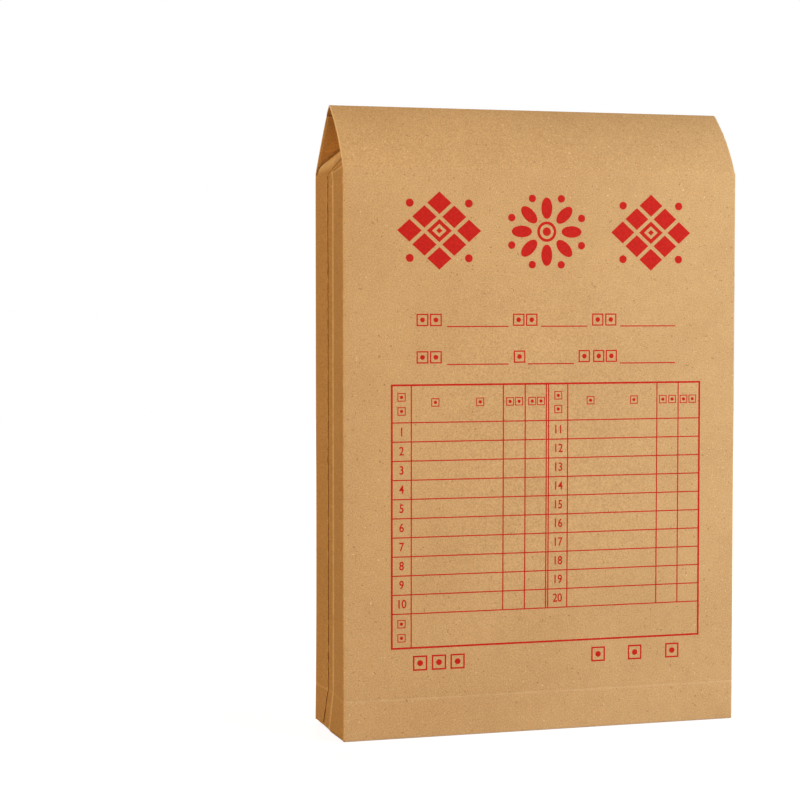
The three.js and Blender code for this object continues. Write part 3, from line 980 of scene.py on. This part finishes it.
def spun(name, profile, place, steps=96):
    """A profile of (radius, level) points in millimetres, spun round the seat's Z."""
    bm = bmesh.new()
    verts = [bm.verts.new((radius * MM, 0, level * MM)) for radius, level in profile]
    edges = [bm.edges.new((a, b)) for a, b in zip(verts, verts[1:] + verts[:1])]
    bmesh.ops.spin(
        bm,
        geom=verts + edges,
        cent=(0, 0, 0),
        axis=(0, 0, 1),
        angle=2 * math.pi,
        steps=steps,
        use_merge=True,
    )
    bmesh.ops.remove_doubles(bm, verts=bm.verts, dist=NEARLY)
    bmesh.ops.recalc_face_normals(bm, faces=bm.faces)
    bmesh.ops.transform(bm, matrix=place, verts=bm.verts)
    return made_mesh(name, bm)


def arc(radius, level, reach, first, last, steps=8):
    """Profile points round a centre, between two angles in degrees from outwards."""
    angles = [math.radians(first + (last - first) * i / steps) for i in range(steps + 1)]
    return [(radius + reach * math.cos(a), level + reach * math.sin(a)) for a in angles]


DISC_LOW = 2.0
DISC_HIGH = 2.9
DISC_RADIUS = 11.0
BARREL = 2.25
BORE = 1.75
disc_profile = [
    (2.5, DISC_LOW),
    *arc(DISC_RADIUS - 0.3, DISC_LOW + 0.3, 0.3, -90, 0, 4),
    *arc(DISC_RADIUS - 0.3, DISC_HIGH - 0.3, 0.3, 0, 90, 4),
    (DISC_RADIUS - 1.1, DISC_HIGH - 0.08),
    (2.9, DISC_HIGH - 0.08),
    (2.5, DISC_HIGH - 0.18),
]


def eyelet_profile(head_low, clinch_high):
    """A hollow eyelet: a rolled head outside and a flat clinch inside."""
    return [
        (BORE, clinch_high - 0.4),
        (3.0, clinch_high - 0.4),
        (3.0, clinch_high),
        (BARREL, clinch_high),
        (BARREL, head_low),
        (2.95, head_low),
        *arc(2.45, head_low + 0.02, 0.62, 0, 150, 10),
        (BORE, head_low - 0.1),
    ]


white_board, white_shader = new_material("white coated board", (0.72, 0.75, 0.79), 0.42)
white_tree = white_board.node_tree
white_place = object_place(white_tree)
white_tooth = grain(white_tree, white_place, 900, 3)
white_dirt = ramp(white_tree, grain(white_tree, white_place, 140, 4), 0.3, 0.75)
white_tint = colour_mix(white_tree, "MIX", white_dirt, (0.68, 0.71, 0.75), (0.75, 0.78, 0.825))
link(white_tree, white_tint, white_shader.inputs["Base Color"])
link(white_tree, ramp(white_tree, white_tooth, 0.3, 0.7, 0.36, 0.5), white_shader.inputs["Roughness"])
link(white_tree, bumped(white_tree, white_tooth, 0.1, 0.05 * MM), white_shader.inputs["Normal"])

nickel, nickel_shader = new_material("nickel plate", (0.62, 0.61, 0.59), 0.22)
nickel_shader.inputs["Metallic"].default_value = 1.0
nickel_tree = nickel.node_tree
nickel_haze = grain(nickel_tree, object_place(nickel_tree), 1400, 4)
nickel_polish = ramp(nickel_tree, nickel_haze, 0.3, 0.8, 0.16, 0.34)
link(nickel_tree, nickel_polish, nickel_shader.inputs["Roughness"])
link(nickel_tree, bumped(nickel_tree, nickel_haze, 0.08, 0.03 * MM), nickel_shader.inputs["Normal"])

fibre_board = kraft_material("fibre washer", (0.33, 0.162, 0.06), 0.0)

TIE_SPACE = 1.7
SEAT_GAP = 0.15
WASHER_HIGH = -0.82
CLINCH_HIGH = WASHER_HIGH - 0.5 - SEAT_GAP
washer_profile = [
    (2.5, WASHER_HIGH - 0.5),
    *arc(5.9, WASHER_HIGH - 0.4, 0.1, -90, 0, 2),
    *arc(5.9, WASHER_HIGH - 0.1, 0.1, 0, 90, 2),
    (2.5, WASHER_HIGH),
]
back_seat = seat(Vector((0, HALF_DEPTH, LOWER_BUTTON_HEIGHT)), Vector((0, 1, 0)))
for name, place, head_space, body, disc_body in (
    ("upper", flap_seat(), TIE_SPACE, "flap", "upper_disc"),
    ("lower", back_seat, SEAT_GAP, "root", "lower_disc"),
):
    disc = add_piece(f"{name}_disc", spun(f"{name}_disc", disc_profile, place), white_board)
    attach(disc, disc_body)
    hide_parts(f"{name}_button")
    eyelet_mesh = spun(f"{name}_eyelet", eyelet_profile(DISC_HIGH + head_space, CLINCH_HIGH), place)
    eyelet = add_piece(f"{name}_eyelet", eyelet_mesh, nickel)
    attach(eyelet, body)
    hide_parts(f"{name}_rivet")
    washer_mesh = spun(f"{name}_fibre_washer", washer_profile, place)
    washer = add_piece(f"{name}_fibre_washer", washer_mesh, fibre_board)
    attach(washer, body)
    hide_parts(f"{name}_washer")


# Print
# A ruled filing form in red ink on the front wall: a table of two numbered halves, with blank lines
# and a row of plain ornaments above it. It is a thin layer of ink on the board.
INK_GAP = 0.03 * MM
INK_DEPTH = 0.04 * MM
INK_FACE = -HALF_DEPTH - INK_GAP
FORM_COLUMNS = [-87.7, -76.7, -24.1, -11.4, 1.0, 13.6, 67.3, 80.3, 93.3]
FORM_TOP = 192.5
HEADER_LOW = 172.2
ROW_PITCH = 10.395
ROW_COUNT = 10
FORM_LOW = 49.5
THICK_LINE = 1.0
THIN_LINE = 0.6
NUMBER_COLUMNS = (-82.2, 8.0)

upright = Matrix.Rotation(math.radians(90), 4, "X")
ink_print = bmesh.new()


def bar(x0, z0, x1, z1):
    """A flat bar of ink between two corners, in millimetres on the front wall."""
    across = max(1, math.ceil(abs(x1 - x0) / 9))
    up = max(1, math.ceil(abs(z1 - z0) / 9))
    made = bmesh.ops.create_grid(ink_print, x_segments=across, y_segments=up, size=0.5)["verts"]
    middle = Vector(((x0 + x1) / 2 * MM, INK_FACE, (z0 + z1) / 2 * MM))
    stretch = Matrix.Diagonal((abs(x1 - x0) * MM, abs(z1 - z0) * MM, 1, 1))
    bmesh.ops.transform(ink_print, matrix=Matrix.Translation(middle) @ upright @ stretch, verts=made)


def level_line(x0, x1, z, thick=THIN_LINE):
    bar(x0, z - thick / 2, x1, z + thick / 2)


def upright_line(x, z0, z1, thick=THIN_LINE):
    bar(x - thick / 2, z0, x + thick / 2, z1)


form_left = FORM_COLUMNS[0]
form_right = FORM_COLUMNS[-1]
rows_low = HEADER_LOW - ROW_COUNT * ROW_PITCH
for z in (FORM_TOP, FORM_LOW):
    level_line(form_left - THICK_LINE / 2, form_right + THICK_LINE / 2, z, THICK_LINE)
for x in (form_left, form_right):
    upright_line(x, FORM_LOW, FORM_TOP, THICK_LINE)
for i in range(ROW_COUNT + 1):
    level_line(form_left, form_right, HEADER_LOW - i * ROW_PITCH)
upright_line(FORM_COLUMNS[1], FORM_LOW, FORM_TOP)
for x in FORM_COLUMNS[2:8]:
    upright_line(x, rows_low, FORM_TOP)
upright_line(FORM_COLUMNS[4] + 1.3, rows_low, FORM_TOP)
for z, spans in (
    (224.1, ((-56.4, -21.1), (-2.1, 25.2), (44.8, 78.3))),
    (203.5, ((-56.4, -21.1), (-9.9, 17.4), (44.8, 78.3))),
):
    for x0, x1 in spans:
        level_line(x0, x1, z)


def blot(x, z, radii, sides, stretch=1.0, turn=0.0, cored=False):
    """A round or cornered mark of ink: solid, or a ring between two radii."""
    circle = bmesh.ops.create_circle(
        ink_print, cap_ends=not cored, segments=sides, radius=radii[0] * MM
    )
    made = circle["verts"]
    if cored:
        rim = {edge for vert in made for edge in vert.link_edges}
        share = radii[1] / radii[0]
        outer = bmesh.ops.extrude_edge_only(ink_print, edges=list(rim))["geom"]
        outer = [item for item in outer if isinstance(item, bmesh.types.BMVert)]
        bmesh.ops.scale(ink_print, vec=(share, share, share), verts=outer)
        made = made + outer
    turned = Matrix.Rotation(turn, 4, "Z") @ Matrix.Diagonal((stretch, 1, 1, 1))
    place = Matrix.Translation((x * MM, INK_FACE, z * MM)) @ upright @ turned
    bmesh.ops.transform(ink_print, matrix=place, verts=made)


WIDE = 1.13


def petals(x, z, count, reach, length, breadth, turn=0.0):
    """Oval petals in a ring round a point, a little wider than it is high."""
    for i in range(count):
        angle = turn + 2 * math.pi * i / count
        at_x = x + WIDE * reach * math.cos(angle)
        at_z = z + reach * math.sin(angle)
        blot(at_x, at_z, (breadth,), 24, length / breadth, angle)


def rosette(x, z):
    """A bold flower: a ringed heart, eight petals and a small bead between each two."""
    blot(x, z, (2.4,), 24)
    blot(x, z, (4.0, 5.6), 40, cored=True)
    petals(x, z, 8, 12.9, 5.9, 3.2)
    petals(x, z, 8, 19.6, 2.1, 2.1, math.pi / 8)


def lattice(x, z):
    """A lozenge of nine diamonds, the middle one ringed, with a bead at each side."""
    step = 7.5
    for across in (-1, 0, 1):
        for up in (-1, 0, 1):
            at_x = x + WIDE * (across - up) * step
            at_z = z + (across + up) * step
            if across or up:
                blot(at_x, at_z, (6.1,), 4, WIDE)
            else:
                blot(at_x, at_z, (3.6, 6.3), 4, WIDE, cored=True)
                blot(at_x, at_z, (1.6,), 4, WIDE)
    for angle in (45, 135, 225, 315):
        turn = math.radians(angle)
        blot(x + WIDE * 21 * math.cos(turn), z + 21 * math.sin(turn), (2.2,), 24)


HEADING_HEIGHT = 276
lattice(-60.8, HEADING_HEIGHT)
rosette(1.2, HEADING_HEIGHT)
lattice(63.2, HEADING_HEIGHT)


def tick_box(x, z, size):
    """A small hollow box with a dot in it."""
    blot(x, z, (size * 0.56, size * 0.71), 4, turn=math.pi / 4, cored=True)
    blot(x, z, (size * 0.2,), 16)


for z, size, places in (
    (227.7, 6.7, (-70.4, -62.8, -15.2, -7.6, 31.4, 39.2)),
    (207.5, 6.7, (-70.4, -62.8, -14.7, 23.4, 32.0, 39.6)),
    (41.0, 8.2, (-71.6, -60.8, -50.1, 32.6, 54.7, 77.4)),
):
    for x in places:
        tick_box(x, z, size)
for z, places in (
    (183.0, (-63.1, -37.5, -20.2, -15.0, -7.3, -2.2, 27.2, 53.3, 70.9, 76.6, 83.6, 89.0)),
    (186.0, NUMBER_COLUMNS),
    (178.4, NUMBER_COLUMNS),
    (62.8, NUMBER_COLUMNS[:1]),
    (55.1, NUMBER_COLUMNS[:1]),
):
    for x in places:
        tick_box(x, z, 4.6)


def number(value, x, z):
    """A row's number, set in Blender's own letters and centred on a point."""
    text = bpy.data.curves.new("number", "FONT")
    text.body = str(value)
    text.size = 6.6 * MM
    text.align_x = "CENTER"
    text.align_y = "CENTER"
    text.resolution_u = 4
    text.offset = 0.09 * MM
    figures = as_mesh("number", text)
    narrowed = Matrix.Diagonal((0.85, 1, 1, 1))
    figures.transform(Matrix.Translation((x * MM, INK_FACE, z * MM)) @ upright @ narrowed)
    ink_print.from_mesh(figures)
    bpy.data.meshes.remove(figures)


for i in range(ROW_COUNT):
    row_middle = HEADER_LOW - (i + 0.5) * ROW_PITCH
    for half, x in enumerate(NUMBER_COLUMNS):
        number(i + 1 + half * ROW_COUNT, x, row_middle)
for vert in ink_print.verts:
    vert.co = settled(vert.co)

red_ink, ink_shader = new_material("red ink", (0.53, 0.0126, 0.0072), 0.8)
ink_shader.inputs["Specular IOR Level"].default_value = 0.15
ink_tree = red_ink.node_tree
ink_cover = grain(ink_tree, object_place(ink_tree), 900, 3, 0.6)
ink_full = ramp(ink_tree, ink_cover, 0.3, 0.72)
ink_tint = colour_mix(ink_tree, "MIX", ink_full, (0.48, 0.009, 0.0048), (0.58, 0.0171, 0.0096))
link(ink_tree, ink_tint, ink_shader.inputs["Base Color"])
link(ink_tree, bumped(ink_tree, ink_cover, 0.2, 0.1 * MM), ink_shader.inputs["Normal"])

printed_form = add_piece("printed_form", made_mesh("printed_form", ink_print), red_ink, smooth=False)
ink_layer = printed_form.modifiers.new("ink", "SOLIDIFY")
ink_layer.thickness = INK_DEPTH
ink_layer.offset = 1
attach(printed_form, "root")


# Stage
# A white floor and plain soft studio light from five lamps. The floor glows white only where the
# camera or a shiny face sees it, and it keeps the bag's shadow.
FLOOR_GAP = 0.3 * MM


def stage_sheet():
    bm = bmesh.new()
    bmesh.ops.create_grid(bm, x_segments=1, y_segments=1, size=3)
    bmesh.ops.translate(bm, vec=(0, 0, -FLOOR_GAP), verts=bm.verts)
    return made_mesh("floor", bm)


def seen_directly(tree):
    """One for camera, glossy and transmission rays."""
    path = tree.nodes.new("ShaderNodeLightPath")
    seen = maths(tree, "MAXIMUM", path.outputs["Is Camera Ray"], path.outputs["Is Glossy Ray"])
    return maths(tree, "MAXIMUM", seen, path.outputs["Is Transmission Ray"])


white_floor, floor_shader = new_material("white floor", (0.42, 0.29, 0.14), 0.9)
floor_shader.inputs["Specular IOR Level"].default_value = 0.0
floor_shader.inputs["Emission Color"].default_value = (0.90, 0.94, 1, 1)
floor_tree = white_floor.node_tree
floor_reach = floor_tree.nodes.new("ShaderNodeVectorMath")
floor_reach.operation = "LENGTH"
link(floor_tree, object_place(floor_tree), floor_reach.inputs[0])
floor_white = ramp(floor_tree, floor_reach.outputs["Value"], 0.25, 1.0, 0.93, 1.12)
floor_glow = maths(floor_tree, "MULTIPLY", seen_directly(floor_tree), floor_white)
link(floor_tree, floor_glow, floor_shader.inputs["Emission Strength"])
floor = add_piece("floor", stage_sheet(), white_floor, smooth=False)

world = bpy.data.worlds.new("studio")
scene.world = world
world.use_nodes = True
sky_tree = world.node_tree
sky_seen = seen_directly(sky_tree)
sky_colour = colour_mix(sky_tree, "MIX", sky_seen, (0.13, 0.106, 0.069), (1, 1, 1))
link(sky_tree, sky_colour, sky_tree.nodes["Background"].inputs["Color"])
LAMP_TARGET = Vector((0, 0, 0.17))


def add_lamp(name, place, size, power, colour):
    """A square soft lamp that faces the bag's middle."""
    lamp = bpy.data.objects.new(name, bpy.data.lights.new(name, "AREA"))
    scene.collection.objects.link(lamp)
    lamp.data.size = size
    lamp.data.energy = power
    lamp.data.color = colour
    lamp.location = place
    lamp.rotation_euler = (Vector(place) - LAMP_TARGET).to_track_quat("Z", "Y").to_euler()


COOL = (0.672, 0.836, 1.0)
NEUTRAL = (1.0, 1.0, 1.0)
WARM = (1.0, 0.711, 0.35)
add_lamp("key", (0.8, -0.85, 0.4), 0.6, 16.5, COOL)
add_lamp("fill", (-1.1, -0.66, 1.25), 1.0, 11.7, WARM)
add_lamp("low fill", (-1.2, -1.1, 0.15), 0.6, 7, WARM)
add_lamp("rear", (0.5, 1.85, 0.9), 0.6, 31, NEUTRAL)
add_lamp("rear fill", (1.6, 1.2, 0.7), 1.4, 4.5, WARM)

scene.view_settings.view_transform = "Standard"
